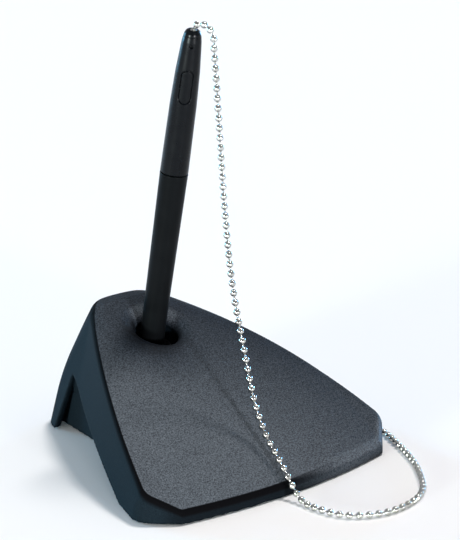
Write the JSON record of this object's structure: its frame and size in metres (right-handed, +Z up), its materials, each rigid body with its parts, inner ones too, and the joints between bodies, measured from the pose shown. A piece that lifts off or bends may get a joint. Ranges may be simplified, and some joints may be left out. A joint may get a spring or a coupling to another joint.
{
  "type": "pen holder",
  "caption": "Counter pen standing in a weighted black plastic wedge base with a tall rear leg, tethered from its top to the base by a ball chain.",
  "frame": {"origin": "on the ground at the middle of the base's depth, on the base's plane of symmetry", "axes": "+Z up; the low front edge of the base faces -Y, its tall rear leg +Y; the chain is anchored under the +X side"},
  "size_m": [0.1163, 0.1435, 0.1495],
  "materials": {
    "shell": "fine-grained moulded black plastic",
    "inside_plastic": "plain moulded black plastic",
    "pen_lower": "satin black plastic",
    "pen_upper": "polished black plastic",
    "rubber": "soft black rubber",
    "nickel": "polished nickel plating",
    "steel": "zinc-plated steel",
    "refill": "ink seen through a thin plastic tube",
    "brass": "turned brass"
  },
  "bodies": {
    "base": {"base_shell": "shell", "foot_pad_front_1": "rubber", "foot_pad_front_2": "rubber", "foot_pad_rear_1": "rubber", "foot_pad_rear_2": "rubber", "bottom_cover": "inside_plastic", "cover_screw_1": "steel", "cover_screw_2": "steel", "cover_screw_3": "steel", "cover_screw_4": "steel", "ballast_weight": "steel", "pen_socket": "inside_plastic", "socket_pad": "rubber", "chain_anchor_eyelet": "nickel", "chain_anchor_screw": "steel", "chain_loop": "nickel"},
    "chain_end": {"chain_end_bead": "nickel", "chain_drop": "nickel"},
    "pen": {"pen_lower_barrel": "pen_lower", "pen_nose_cone": "pen_lower", "pen_upper_barrel": "pen_upper", "barrel_coupling": "inside_plastic", "refill_tip": "brass", "refill_tube": "refill", "refill_stop": "inside_plastic", "pen_end_plug": "pen_upper"}
  },
  "joints": [
    {"name": "pen_lift", "type": "slide", "parent": "base", "child": "chain_end", "axis": [0, -0.2011, 0.9796], "range_m": [0, 0.032]},
    {"name": "pen_spin", "type": "hinge", "parent": "chain_end", "child": "pen", "pos_m": [0, 0.01795, 0.03821], "axis": [0, -0.2011, 0.9796], "continuous": true}
  ]
}
